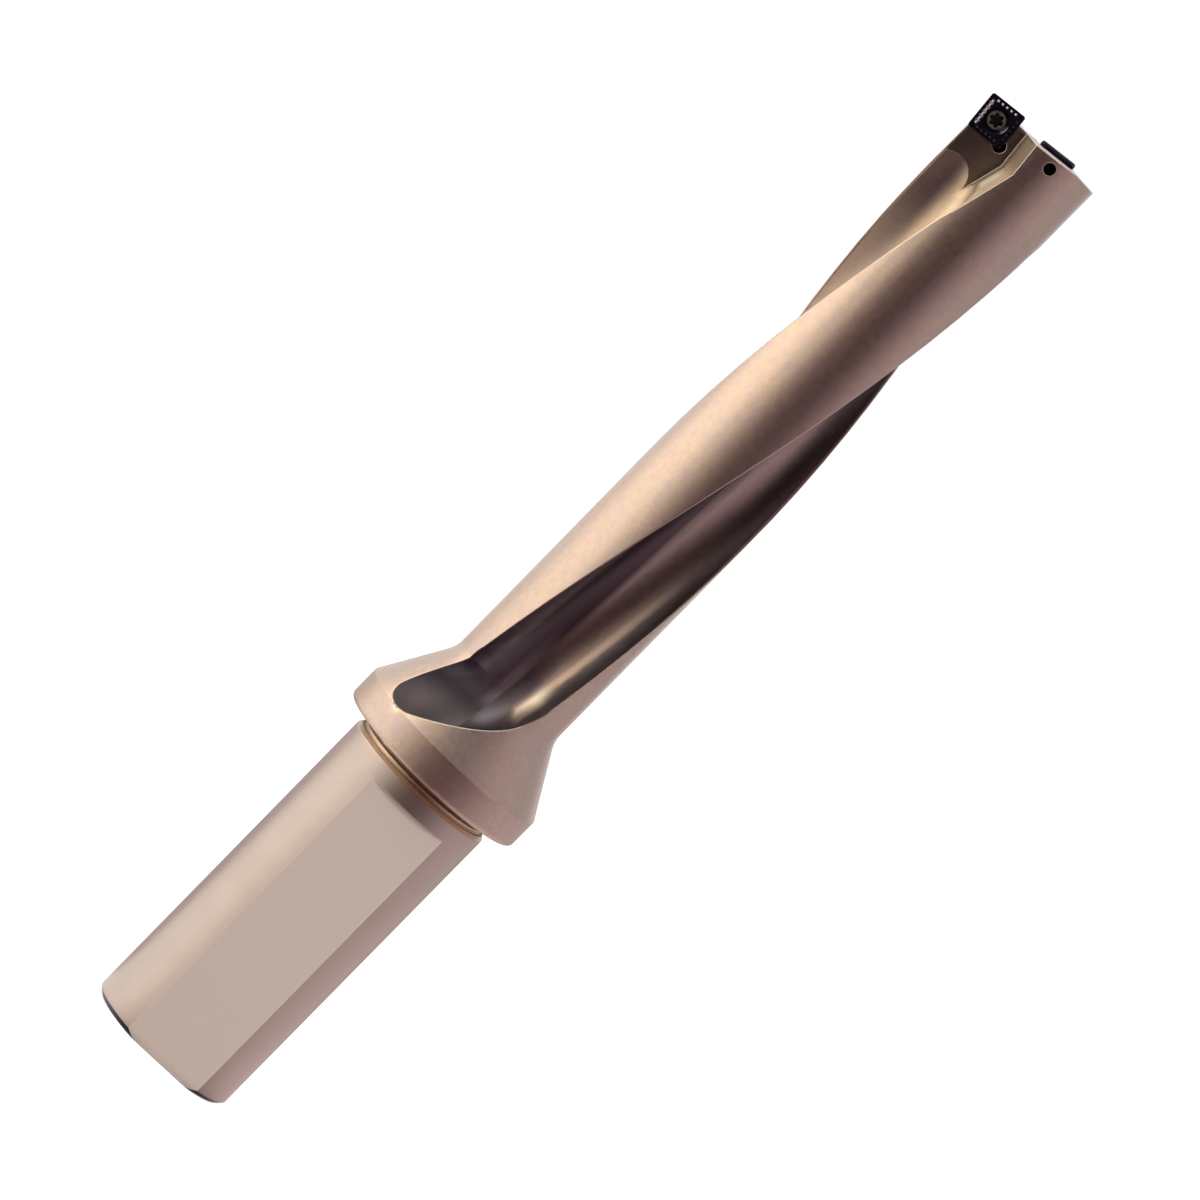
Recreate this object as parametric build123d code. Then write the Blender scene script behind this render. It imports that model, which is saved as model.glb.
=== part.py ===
from build123d import *
from build123d.topology import SkipClean
import os
from math import cos, radians, sin, tan

# Indexable insert drill for 21 mm holes, five diameters deep, on a side-lock shank.
# It stands on the end of its shank: Z is the tool's axis, pointing at the tip, and
# the origin is the centre of the shank's end face. Millimetres and degrees.
# A bearing is measured around the axis from -Y towards +X. The clamping flat and the
# outer insert's face both look along -Y. The tool cuts turning towards rising bearings.

# Driving dimensions: shank, flange and cone
SHANK_DIAMETER = 25.0
SHANK_LENGTH = 57.0
SHANK_END_CHAMFER = 0.8
SHANK_FRONT_CHAMFER_WIDTH = 0.45
SHANK_FRONT_CHAMFER_LENGTH = 0.6
UNDERCUT_WIDTH = 1.75
UNDERCUT_DIAMETER = 22.9
UNDERCUT_FLARE = 1.2            # it widens towards the flange, past the shank's round
FLAT_HEIGHT = 10.5              # from the axis to the clamping flat
FLAT_END_BELOW_FLANGE = 5.0     # a ring of the round is left above the flat
FLANGE_DIAMETER = 32.0
FLANGE_LENGTH = 5.0
FLANGE_BACK_RADIUS = 0.7
CONE_HALF_ANGLE = 30.0
CONE_TOP_FILLET = 5.0

# Driving dimensions: fluted body
CUTTING_DIAMETER = 21.0
BODY_DIAMETER = 19.8
BODY_LENGTH = 127.0             # from the flange's back face to the front ridge
FLUTE_LEAD = 275.0              # length of one full turn
FLUTE_TOOL_RADIUS = 6.0
CORE_RADIUS = 2.6               # from the axis to a flute's floor
OUTER_FLUTE_BEARING = -62.6     # of each flute where its milling ends below the tip
INNER_FLUTE_BEARING = 114.9
INNER_FLUTE_SPREAD = 10.5       # the inner flute is milled in two passes
FLUTE_TOP_BELOW_RIDGE = 15.3
OUTER_FLUTE_END_RADIUS = 5.2    # the outer flute narrows where the mill lifts out
OUTER_FLUTE_END_OFFSET = 7.9
OUTER_FLUTE_END_BEARING = -66.7
OUTER_FLUTE_END_BELOW_RIDGE = 13.3

# Driving dimensions: the flutes' run-out through the cone
RUNOUT_START_ABOVE_CONE = 4.1
RUNOUT_END_ABOVE_FLANGE = 0.1
RUNOUT_TURN = 42.1              # how far the mill swings round as it leaves
SECOND_PASS_REACH = 2.7         # how much lower the inner flute's second pass goes

# Driving dimensions: front faces
RIDGE_OFFSET = 5.2              # from the axis to the ridge across the front
INNER_FRONT_SLOPE = 5.8
OUTER_FRONT_SLOPE = 4.7
HEEL_RELIEF = 6.0
HEEL_RELIEF_START = 3.0         # behind the plane of the outer insert's face

# Driving dimensions: the milled planes that the inserts look out of. Each has a bent
# wall beside it. The wall's distance past the axis is given at its foot and outside
# the body's rim: at the tip, at the bend and at the lower end.
FACE_STEP = 0.1                 # an insert's face stands this far above its plane
WALL_HEIGHT = 11.5              # from an insert's face out to where the rim is given
FOOT_BEND_BELOW_RIDGE = 6.8
RIM_BEND_BELOW_RIDGE = 5.4
WALL_END_BELOW_RIDGE = 15.5
OUTER_FOOT_TOP = -2.92
OUTER_FOOT_BEND = -2.19
OUTER_FOOT_END = -4.43
OUTER_RIM_TOP = -2.14
OUTER_RIM_BEND = -1.66
OUTER_RIM_END = -4.1
INNER_FOOT_TOP = 1.0
INNER_FOOT_BEND = 0.85
INNER_FOOT_END = -3.6
INNER_RIM_TOP = 1.5
INNER_RIM_BEND = 1.1
INNER_RIM_END = -3.5
OUTER_FACE_BEARING = 0.0        # which way each insert looks
INNER_FACE_BEARING = 173.0
OUTER_FACE_RAKE = 3.3           # how far its face dips towards the shank
INNER_FACE_RAKE = 3.3

# Driving dimensions: inserts
INSERT_SIDE = 6.0
INSERT_THICKNESS = 2.38
INSERT_RELIEF = 11.0
INSERT_CORNER_RADIUS = 0.4
INSERT_HOLE_DIAMETER = 2.6
INSERT_SINK_DIAMETER = 3.8
OUTER_INSERT_TILT = 5.5
INNER_INSERT_TILT = -6.1
INNER_INSERT_REACH = 0.55       # past the axis
OUTER_INSERT_PROUD = 0.63       # an insert's foremost corner above the ridge
INNER_INSERT_PROUD = 0.78
POCKET_CLEARANCE = 0.3          # on a side where nothing seats
CORNER_RELIEF_DIAMETER = 2.1
CORNER_RELIEF_SHIFT = 0.4       # from the insert's corner towards its middle

# Driving dimensions: screws
SCREW_THREAD_DIAMETER = 2.2
SCREW_LENGTH = 5.4
SCREW_HEAD_DIAMETER = 2.95
SCREW_HEAD_ANGLE = 60.0
HOLE_PAST_SCREW = 0.4
HOLE_EXIT_DIAMETER = 1.9
SOCKET_DIAMETER = 2.0
SOCKET_LOBE_RADIUS = 0.27
SOCKET_DEPTH = 0.9
SOCKET_LOBES = 6

# Driving dimensions: coolant
BORE_DIAMETER = 10.0
BORE_CHAMFER = 0.6
BORE_END_BELOW_FLANGE = 1.0
BORE_TIP_ANGLE = 118.0
CHANNEL_DIAMETER = 2.4
CHANNEL_OFFSET = 5.4            # from the axis to a channel's middle
CHANNEL_OVERLAP = 5.0           # how far a channel runs beside the bore
CHANNEL_TOP_BELOW_RIDGE = 18.0
OUTLET_DIAMETER = 1.4
OUTLET_AIM_ABOVE_RIDGE = 1.0    # the height at which an outlet's X and Y are given
INNER_OUTLET_X = -0.15
INNER_OUTLET_Y = -4.24
OUTER_OUTLET_X = -2.7
OUTER_OUTLET_Y = 4.9

# Heights and radii that follow from them
SHANK_RADIUS = SHANK_DIAMETER / 2
FLAT_LENGTH = SHANK_LENGTH - FLAT_END_BELOW_FLANGE
FLANGE_RADIUS = FLANGE_DIAMETER / 2
BODY_RADIUS = BODY_DIAMETER / 2
FLANGE_FRONT = SHANK_LENGTH + FLANGE_LENGTH
CONE_TOP = FLANGE_FRONT + (FLANGE_RADIUS - BODY_RADIUS) / tan(radians(CONE_HALF_ANGLE))
RIDGE = SHANK_LENGTH + BODY_LENGTH
FLUTE_TOP = RIDGE - FLUTE_TOP_BELOW_RIDGE
FLUTE_OFFSET = CORE_RADIUS + FLUTE_TOOL_RADIUS
RUNOUT_START = CONE_TOP + RUNOUT_START_ABOVE_CONE
RUNOUT_END = FLANGE_FRONT + RUNOUT_END_ABOVE_FLANGE
TURN_PER_MM = 360 / FLUTE_LEAD
BEYOND = FLANGE_RADIUS + 2      # a reach that clears the whole tool
SINK_SLOPE = tan(radians(SCREW_HEAD_ANGLE / 2))
HEAD_DEPTH = (INSERT_SINK_DIAMETER - SCREW_HEAD_DIAMETER) / 2 / SINK_SLOPE
BASE_AND_UP = (Align.CENTER, Align.CENTER, Align.MIN)
TOP_AND_DOWN = (Align.CENTER, Align.CENTER, Align.MAX)


def at(distance, bearing, height):
    """A point at a distance from the axis, on a bearing."""
    turn = radians(bearing)
    return Vector(distance * sin(turn), -distance * cos(turn), height)


def helix_bearing(bearing_at_top, height):
    """The bearing that a flute or channel has at a height."""
    return bearing_at_top - TURN_PER_MM * (FLUTE_TOP - height)


def turned_blank():
    """Everything above the clamping flat: shank, undercut, flange, cone and body."""
    undercut_radius = UNDERCUT_DIAMETER / 2
    undercut_start = SHANK_LENGTH - UNDERCUT_WIDTH
    chamfer_start = undercut_start - SHANK_FRONT_CHAMFER_LENGTH
    outline = Polyline(
        (0, FLAT_LENGTH),
        (SHANK_RADIUS, FLAT_LENGTH),
        (SHANK_RADIUS, chamfer_start),
        (SHANK_RADIUS - SHANK_FRONT_CHAMFER_WIDTH, undercut_start),
        (undercut_radius, undercut_start),
        (undercut_radius, SHANK_LENGTH - UNDERCUT_FLARE),
        (undercut_radius + UNDERCUT_FLARE, SHANK_LENGTH),
        (FLANGE_RADIUS, SHANK_LENGTH),
        (FLANGE_RADIUS, FLANGE_FRONT),
        (BODY_RADIUS, CONE_TOP),
        (BODY_RADIUS, RIDGE),
        (0, RIDGE),
        close=True,
    )
    profile = make_face(outline)
    flange_back = profile.vertices().sort_by_distance((FLANGE_RADIUS, SHANK_LENGTH, 0))[0]
    profile = fillet(flange_back, FLANGE_BACK_RADIUS)
    cone_top = profile.vertices().sort_by_distance((BODY_RADIUS, CONE_TOP, 0))[0]
    profile = fillet(cone_top, CONE_TOP_FILLET)
    return revolve(Plane.XZ * profile, Axis.Z)


def clamped_length():
    """The shank beside its side-lock flat, with a chamfered end."""
    bar = Cylinder(SHANK_RADIUS, FLAT_LENGTH, align=BASE_AND_UP)
    bar = chamfer(bar.edges().group_by(Axis.Z)[0], SHANK_END_CHAMFER)
    block = Box(SHANK_DIAMETER, SHANK_RADIUS, FLAT_LENGTH, align=(Align.CENTER, Align.MAX, Align.MIN))
    return bar - Pos(0, -FLAT_HEIGHT, 0) * block


def twisted_rod(distance, bearing_at_top, low, high, radius):
    """A round bar that winds about the axis with the flutes' lead."""
    centre = at(distance, helix_bearing(bearing_at_top, low), low)
    section = (Pos(centre) * Circle(radius)).faces()[0]
    twist = TURN_PER_MM * (high - low)
    return Solid.extrude_linear_with_rotation(section, (0, 0, low), (0, 0, high - low), twist)


def ball(centre):
    return Pos(centre) * Sphere(FLUTE_TOOL_RADIUS)


def rod_between(start, end, radius):
    """A straight round bar from one point to another."""
    length = (end - start).length
    return Plane(origin=start, z_dir=end - start) * Cylinder(radius, length, align=BASE_AND_UP)


def milled_pass(bearing_at_top, low):
    """One pass of the ball mill: helical, closed by the ball at both ends."""
    low_bearing = helix_bearing(bearing_at_top, low)
    return [
        twisted_rod(FLUTE_OFFSET, bearing_at_top, low, FLUTE_TOP, FLUTE_TOOL_RADIUS),
        ball(at(FLUTE_OFFSET, low_bearing, low)),
        ball(at(FLUTE_OFFSET, bearing_at_top, FLUTE_TOP)),
    ]


def flute_runout(bearing_at_top):
    """The mill swings round and leaves through the cone, down to the flange."""
    start_bearing = helix_bearing(bearing_at_top, RUNOUT_START)
    end_offset = FLANGE_RADIUS - FLUTE_TOOL_RADIUS
    start = at(FLUTE_OFFSET, start_bearing, RUNOUT_START)
    end = at(end_offset, start_bearing - RUNOUT_TURN, RUNOUT_END)
    return [rod_between(start, end, FLUTE_TOOL_RADIUS), ball(end)]


def outer_flute_end():
    """The outer flute's narrower end, where the mill lifts out of the cut."""
    start = at(FLUTE_OFFSET, OUTER_FLUTE_BEARING, FLUTE_TOP)
    height = RIDGE - OUTER_FLUTE_END_BELOW_RIDGE
    end = at(OUTER_FLUTE_END_OFFSET, OUTER_FLUTE_END_BEARING, height)
    travel = (end - start).length
    narrowing = Cone(FLUTE_TOOL_RADIUS, OUTER_FLUTE_END_RADIUS, travel, align=BASE_AND_UP)
    tip = Pos(end) * Sphere(OUTER_FLUTE_END_RADIUS)
    return [Plane(origin=start, z_dir=end - start) * narrowing, tip]


def flutes():
    """Everything that the ball mill takes away."""
    outer = milled_pass(OUTER_FLUTE_BEARING, RUNOUT_START) + flute_runout(OUTER_FLUTE_BEARING)
    inner = milled_pass(INNER_FLUTE_BEARING, RUNOUT_START) + flute_runout(INNER_FLUTE_BEARING)
    second_bearing = INNER_FLUTE_BEARING - INNER_FLUTE_SPREAD
    second = milled_pass(second_bearing, RUNOUT_START - SECOND_PASS_REACH)
    return outer + outer_flute_end() + inner + second


def face_plane(bearing, rake):
    """An insert's face plane. It crosses the axis at the ridge's height, with X level."""
    facing = at(1, bearing, -tan(radians(rake)))
    return Plane(origin=(0, 0, RIDGE), x_dir=at(1, bearing + 90, 0), z_dir=facing)


def outer_face():
    return face_plane(OUTER_FACE_BEARING, OUTER_FACE_RAKE)


def inner_face():
    return face_plane(INNER_FACE_BEARING, INNER_FACE_RAKE)


def wall_outline(top, bend, end, bend_below_ridge):
    """The outline of a milled plane, in its own face plane, with the wall's distances."""
    outline = Polyline(
        (top, BEYOND),
        (top, 0),
        (bend, -bend_below_ridge),
        (end, -WALL_END_BELOW_RIDGE),
        (-BEYOND, -WALL_END_BELOW_RIDGE),
        (-BEYOND, BEYOND),
        close=True,
    )
    return make_face(outline)


def milled_plane(plane, foot, rim):
    """The room in front of an insert: a plane behind, and a bent wall on one side."""
    return loft([plane.offset(-FACE_STEP) * foot, plane.offset(WALL_HEIGHT) * rim], ruled=True)


def outer_milled_plane():
    foot = wall_outline(OUTER_FOOT_TOP, OUTER_FOOT_BEND, OUTER_FOOT_END, FOOT_BEND_BELOW_RIDGE)
    rim = wall_outline(OUTER_RIM_TOP, OUTER_RIM_BEND, OUTER_RIM_END, RIM_BEND_BELOW_RIDGE)
    return milled_plane(outer_face(), foot, rim)


def inner_milled_plane():
    foot = wall_outline(INNER_FOOT_TOP, INNER_FOOT_BEND, INNER_FOOT_END, FOOT_BEND_BELOW_RIDGE)
    rim = wall_outline(INNER_RIM_TOP, INNER_RIM_BEND, INNER_RIM_END, RIM_BEND_BELOW_RIDGE)
    return milled_plane(inner_face(), foot, rim)


def front_faces():
    """What the two slopes from the ridge take off the front, and the heel's relief."""
    inner_run = RIDGE_OFFSET - OUTER_FOOT_TOP
    inner_height = RIDGE - inner_run * tan(radians(INNER_FRONT_SLOPE))
    outer_height = RIDGE - (BEYOND - RIDGE_OFFSET) * tan(radians(OUTER_FRONT_SLOPE))
    above = RIDGE + BEYOND
    outline = Polyline(
        (-BEYOND, inner_height),
        (OUTER_FOOT_TOP, inner_height),
        (RIDGE_OFFSET, RIDGE),
        (BEYOND, outer_height),
        (BEYOND, above),
        (-BEYOND, above),
        close=True,
    )
    slopes = extrude(Plane.XZ * make_face(outline), amount=BEYOND, both=True)
    hinge = Pos(OUTER_FOOT_TOP, HEEL_RELIEF_START, inner_height)
    rim_side = Box(BEYOND, BEYOND, BEYOND, align=(Align.MAX, Align.MIN, Align.MIN))
    axis_side = Box(BEYOND, BEYOND, BEYOND, align=(Align.MIN, Align.MIN, Align.MIN))
    level_relief = hinge * Rot(-HEEL_RELIEF, 0, 0) * rim_side
    sloped_relief = hinge * Rot(0, -INNER_FRONT_SLOPE, 0) * Rot(-HEEL_RELIEF, 0, 0) * axis_side
    return [slopes, level_relief, sloped_relief]


def insert_reach(tilt):
    """From a tilted insert's middle to its furthest point, level or upright."""
    turn = radians(abs(tilt))
    to_corner = INSERT_SIDE / 2 - INSERT_CORNER_RADIUS
    return to_corner * (cos(turn) + sin(turn)) + INSERT_CORNER_RADIUS


def outer_insert_plane():
    """The outer insert's face: its corner runs on the cutting diameter."""
    reach = insert_reach(OUTER_INSERT_TILT)
    middle = Pos(reach - CUTTING_DIAMETER / 2, OUTER_INSERT_PROUD - reach, 0)
    return outer_face() * middle * Rot(0, 0, OUTER_INSERT_TILT)


def inner_insert_plane():
    """The inner insert's face: its inner corner stands just past the axis."""
    reach = insert_reach(INNER_INSERT_TILT)
    middle = Pos(INNER_INSERT_REACH - reach, INNER_INSERT_PROUD - reach, 0)
    return inner_face() * middle * Rot(0, 0, INNER_INSERT_TILT)


def tapered_block(left, right, low, high, corner_radius=0.0):
    """A plate from the face level down to the seat, drawn in by the relief angle."""
    sketch = Pos((left + right) / 2, (low + high) / 2) * Rectangle(right - left, high - low)
    if corner_radius > 0:
        sketch = fillet(sketch.vertices(), corner_radius)
    return extrude(sketch, amount=-INSERT_THICKNESS, taper=INSERT_RELIEF)


def insert():
    """A square insert, face up at Z = 0."""
    half = INSERT_SIDE / 2
    plate = tapered_block(-half, half, -half, half, INSERT_CORNER_RADIUS)
    sink_depth = (INSERT_SINK_DIAMETER - INSERT_HOLE_DIAMETER) / 2 / SINK_SLOPE
    sink = Cone(INSERT_HOLE_DIAMETER / 2, INSERT_SINK_DIAMETER / 2, sink_depth, align=TOP_AND_DOWN)
    hole = Cylinder(INSERT_HOLE_DIAMETER / 2, INSERT_THICKNESS, align=TOP_AND_DOWN)
    return plate - sink - hole


def insert_screw():
    """A countersunk screw with a six-lobe socket, in its insert's place."""
    head_length = (SCREW_HEAD_DIAMETER - SCREW_THREAD_DIAMETER) / 2 / SINK_SLOPE
    head = Cone(SCREW_THREAD_DIAMETER / 2, SCREW_HEAD_DIAMETER / 2, head_length, align=TOP_AND_DOWN)
    shank = Cylinder(SCREW_THREAD_DIAMETER / 2, SCREW_LENGTH, align=TOP_AND_DOWN)
    lobe_offset = SOCKET_DIAMETER / 2 - SOCKET_LOBE_RADIUS
    socket = Circle(lobe_offset)
    socket += PolarLocations(lobe_offset, SOCKET_LOBES) * Circle(SOCKET_LOBE_RADIUS)
    screw = head + shank - extrude(socket, amount=-SOCKET_DEPTH)
    return Pos(0, 0, -HEAD_DEPTH) * screw


def screw_hole():
    """Tapped under the insert, and drilled on through the land behind it."""
    tapped_depth = HEAD_DEPTH + SCREW_LENGTH + HOLE_PAST_SCREW
    tapped = Cylinder(SCREW_THREAD_DIAMETER / 2, tapped_depth, align=TOP_AND_DOWN)
    exit_hole = Cylinder(HOLE_EXIT_DIAMETER / 2, BODY_DIAMETER, align=TOP_AND_DOWN)
    return tapped + exit_hole


def corner_relief(side):
    """The drilled corner behind an insert, so that its own corner stays free."""
    place = INSERT_SIDE / 2 - CORNER_RELIEF_SHIFT
    hole = Cylinder(CORNER_RELIEF_DIAMETER / 2, INSERT_THICKNESS, align=TOP_AND_DOWN)
    return Pos(side * place, -place, 0) * hole


def outer_pocket():
    """Open at the front and the rim. It seats the outer insert behind and inside."""
    half = INSERT_SIDE / 2
    room = tapered_block(-half - BEYOND, half, -half, half + BEYOND)
    return room + corner_relief(1) + screw_hole()


def inner_pocket():
    """Open at the front. It seats the inner insert behind and on its outer side."""
    half = INSERT_SIDE / 2
    room = tapered_block(-half, half + POCKET_CLEARANCE, -half, half + BEYOND)
    return room + corner_relief(-1) + corner_relief(1) + screw_hole()


def coolant_bore():
    """The inlet in the shank's end."""
    radius = BORE_DIAMETER / 2
    end = SHANK_LENGTH - BORE_END_BELOW_FLANGE
    tip = radius / tan(radians(BORE_TIP_ANGLE / 2))
    bore = Cylinder(radius, end, align=BASE_AND_UP)
    bore += Pos(0, 0, end) * Cone(radius, 0, tip, align=BASE_AND_UP)
    return bore + Cone(radius + BORE_CHAMFER, radius, BORE_CHAMFER, align=BASE_AND_UP)


def coolant_channel(land_bearing, outlet_x, outlet_y):
    """A helical channel up the middle of a land, and the outlet drilled into it."""
    low = SHANK_LENGTH - BORE_END_BELOW_FLANGE - CHANNEL_OVERLAP
    high = RIDGE - CHANNEL_TOP_BELOW_RIDGE
    channel = twisted_rod(CHANNEL_OFFSET, land_bearing, low, high, CHANNEL_DIAMETER / 2)
    met = high - OUTLET_DIAMETER
    start = at(CHANNEL_OFFSET, helix_bearing(land_bearing, met), met)
    mouth = Vector(outlet_x, outlet_y, RIDGE + OUTLET_AIM_ABOVE_RIDGE)
    return [channel, rod_between(start, mouth, OUTLET_DIAMETER / 2)]


def coolant_ways():
    """The bore, and one channel in each land."""
    inner_edge = INNER_FLUTE_BEARING - INNER_FLUTE_SPREAD
    inner_land = (OUTER_FLUTE_BEARING + inner_edge) / 2
    outer_land = (INNER_FLUTE_BEARING + OUTER_FLUTE_BEARING + 360) / 2
    inner_channel = coolant_channel(inner_land, INNER_OUTLET_X, INNER_OUTLET_Y)
    outer_channel = coolant_channel(outer_land, OUTER_OUTLET_X, OUTER_OUTLET_Y)
    return [coolant_bore()] + inner_channel + outer_channel


def take_off(solid, cuts):
    for cut in cuts:
        solid = solid - cut
    return solid


def drill_body():
    """The one-piece body. The round beside the flat stays a face of its own."""
    cuts = front_faces() + flutes() + [outer_milled_plane(), inner_milled_plane()]
    cuts += [outer_insert_plane() * outer_pocket(), inner_insert_plane() * inner_pocket()]
    upper = take_off(turned_blank(), cuts + coolant_ways())
    lower = take_off(clamped_length(), coolant_ways())
    with SkipClean():
        return upper + lower


def save(node, shape):
    """One file for each piece of the drill."""
    shape.label = node
    export_step(shape, f"parts/{node}.step")


os.makedirs("parts", exist_ok=True)
save("drill_body", drill_body())
save("peripheral_insert", outer_insert_plane() * insert())
save("central_insert", inner_insert_plane() * insert())
save("peripheral_insert_screw", outer_insert_plane() * insert_screw())
save("central_insert_screw", inner_insert_plane() * insert_screw())
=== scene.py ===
import math

import bpy
from mathutils import Matrix, Vector


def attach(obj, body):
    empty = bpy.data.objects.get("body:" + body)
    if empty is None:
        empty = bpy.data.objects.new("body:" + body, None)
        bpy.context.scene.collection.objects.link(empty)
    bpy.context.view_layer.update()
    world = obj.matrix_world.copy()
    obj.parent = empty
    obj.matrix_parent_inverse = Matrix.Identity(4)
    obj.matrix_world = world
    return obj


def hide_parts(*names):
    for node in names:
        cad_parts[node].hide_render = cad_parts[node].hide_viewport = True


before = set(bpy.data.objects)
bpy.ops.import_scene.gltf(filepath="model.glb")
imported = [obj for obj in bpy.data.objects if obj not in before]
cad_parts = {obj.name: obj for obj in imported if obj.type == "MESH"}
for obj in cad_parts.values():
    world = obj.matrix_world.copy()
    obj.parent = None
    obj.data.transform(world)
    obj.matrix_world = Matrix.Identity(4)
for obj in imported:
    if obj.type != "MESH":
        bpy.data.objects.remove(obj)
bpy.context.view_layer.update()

MM = 0.001
BODY = "root"
WHITE = (1.0, 1.0, 1.0)

# The photograph's camera
CAMERA_PLACE = Vector((-0.17212, -1.08671, 0.21982))
CAMERA_TARGET = Vector((0.000258, -0.000041, 0.091978))
CAMERA_ROLL = 44.446            # degrees: the tool leans to the right in the picture
CAMERA_LENS = 229.76
CAMERA_SENSOR = 36.0

# Sizes of the object, as the part's source has them (mm and degrees)
SHANK_LENGTH = 57.0
UNDERCUT_WIDTH = 1.75
FLAT_HEIGHT = 10.5
FLAT_LENGTH = 52.0
FLANGE_FRONT = 62.0
FLANGE_RADIUS = 16.0
CONE_TOP = 72.565
CONE_HALF_ANGLE = 30.0
BODY_RADIUS = 9.9
RIDGE = 184.0
FACE_RAKE = 3.3
INSERT_SIDE = 6.0
INSERT_THICKNESS = 2.38
INSERT_RELIEF = 11.0
INSERT_CORNER_RADIUS = 0.4
INSERT_HOLE_RADIUS = 1.3
INSERT_SINK_RADIUS = 1.9
SCREW_HEAD_RADIUS = 1.475
SCREW_THREAD_RADIUS = 1.1
SCREW_HEAD_ANGLE = 60.0
SCREW_LENGTH = 5.4
INSERTS = (                     # which way each looks, and its turn in its own plane
    ("peripheral_insert", 0.0, 5.5),
    ("central_insert", 173.0, -6.1),
)


def opaque(tone):
    """A colour with its alpha. A socket stays as it is."""
    return (*tone, 1.0) if isinstance(tone, tuple) else tone


class Nodes:
    """A small helper that adds linked shader nodes."""

    def __init__(self, tree):
        self.tree = tree

    def add(self, kind, inputs=None, **settings):
        node = self.tree.nodes.new(kind)
        for name, value in settings.items():
            setattr(node, name, value)
        for name, value in (inputs or {}).items():
            if isinstance(value, bpy.types.NodeSocket):
                self.tree.links.new(value, node.inputs[name])
            else:
                node.inputs[name].default_value = value
        return node

    def math(self, operation, *values):
        return self.add("ShaderNodeMath", dict(enumerate(values)), operation=operation).outputs[0]

    def product(self, first, *others):
        for other in others:
            first = self.math("MULTIPLY", first, other)
        return first

    def rest(self, value):
        """What is left of 1."""
        return self.math("SUBTRACT", 1.0, value)

    def fade(self, value, span):
        """0 before the span's first number, 1 past its second, smooth between."""
        inputs = {"Value": value, "From Min": span[0], "From Max": span[1]}
        return self.add("ShaderNodeMapRange", inputs, interpolation_type="SMOOTHSTEP").outputs["Result"]

    def fade_mm(self, value, span):
        """The same, for a span in mm."""
        return self.fade(value, (span[0] * MM, span[1] * MM))

    def band_mm(self, value, span):
        """0, rising to 1, and falling to 0 again, between four places in mm."""
        return self.product(self.fade_mm(value, span[:2]), self.fade_mm(value, (span[3], span[2])))

    def mix(self, factor, a, b, blend="MIX"):
        """A mix of two colours. By number, its sockets are the factor and the two colours."""
        inputs = {0: factor, 6: opaque(a), 7: opaque(b)}
        return self.add("ShaderNodeMix", inputs, data_type="RGBA", blend_type=blend).outputs[2]

    def tint(self, a, b):
        return self.mix(1.0, a, b, "MULTIPLY")

    def dot(self, a, b):
        node = self.add("ShaderNodeVectorMath", {0: a, 1: b}, operation="DOT_PRODUCT")
        return node.outputs["Value"]

    def noise(self, vector, scale, detail, roughness):
        inputs = {"Vector": vector, "Scale": scale, "Detail": detail, "Roughness": roughness}
        return self.add("ShaderNodeTexNoise", inputs).outputs["Fac"]

    def hollow(self, reach, samples):
        """How open a place is: 1 in the open, 0 deep in a hole."""
        node = self.add("ShaderNodeAmbientOcclusion", {"Distance": reach * MM}, samples=samples)
        return node.outputs["AO"]

    def link(self, shader, **sockets):
        """Links results to the shader's sockets."""
        for name, value in sockets.items():
            self.tree.links.new(value, shader.inputs[name.replace("_", " ")])


def new_material(name, **surface):
    """A material with its Principled shader's own sockets set."""
    material = bpy.data.materials.new(name)
    material.use_nodes = True
    shader = material.node_tree.nodes["Principled BSDF"]
    for socket, value in surface.items():
        shader.inputs[socket.replace("_", " ")].default_value = value
    return material, Nodes(material.node_tree), shader


def empty_material(name):
    """A material without a shader."""
    material = bpy.data.materials.new(name)
    material.use_nodes = True
    material.node_tree.nodes.clear()
    return material, Nodes(material.node_tree)


# The body's mask edges. Spans of heights, depths and distances are in mm here and below
FLUTE_DEPTHS = (0.12, 0.5)      # below the round
FLUTES_LOW = (FLANGE_FRONT - 1.5, FLANGE_FRONT - 1.0)
FLUTES_HIGH = (RIDGE - 0.9, RIDGE - 1.4)
SHANK_END = (SHANK_LENGTH - 2.2, SHANK_LENGTH - 2.4)
FLAT_EDGE = (0.1 - FLAT_HEIGHT, 0.03 - FLAT_HEIGHT)
FLAT_END = (FLAT_LENGTH + 0.1, FLAT_LENGTH - 0.1)
CHAMFER_END = (0.82, 0.72)
UNDERCUT_LOW = (SHANK_LENGTH - UNDERCUT_WIDTH - 0.1, SHANK_LENGTH - UNDERCUT_WIDTH + 0.05)
UNDERCUT_HIGH = (SHANK_LENGTH + 0.1, SHANK_LENGTH - 0.1)

# One wall of each flute, with painted light and shade: a glint, a highlight streak with a brighter
# foot, and a floor and a brow painted dark (linear colours)
LIT_BASE = (0.36, 0.275, 0.245)
GLINT = (0.44, 0.33, 0.31)
GLINT_DRIFT = 27.0              # how far it turns round the wall, for each metre of height
GLINT_TURN = 0.13               # at the height that follows
GLINT_HEIGHT = 91.0
GLINT_REACH = (0.34, 0.05)
GLINT_HEIGHTS = (85.0, 98.0)
FLOOR_LOW = (0.15, 0.12, 0.135)
FLOOR_DEPTHS = (5.3, 6.4)
FLOOR_HEIGHTS = (85.0, 76.0)
BROW_HIGH = (0.14, 0.115, 0.115)
BROW_LOW = (0.26, 0.235, 0.26)
BROW_HEIGHTS = (104.0, 84.0)
BROW_DEPTHS = (4.8, 2.0)
STREAK = (0.56, 0.44, 0.355)
STREAK_DEPTHS = (3.5, 4.3, 4.7, 5.5)
STREAK_HEIGHTS = (70.6, 72.0, 88.0, 105.0)
STREAK_BEND = 79.0              # from here up, it gets shallower
STREAK_DRIFT = 0.08             # by so much for each mm of height
STREAK_FOOT = (0.85, 0.76, 0.64)
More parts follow.
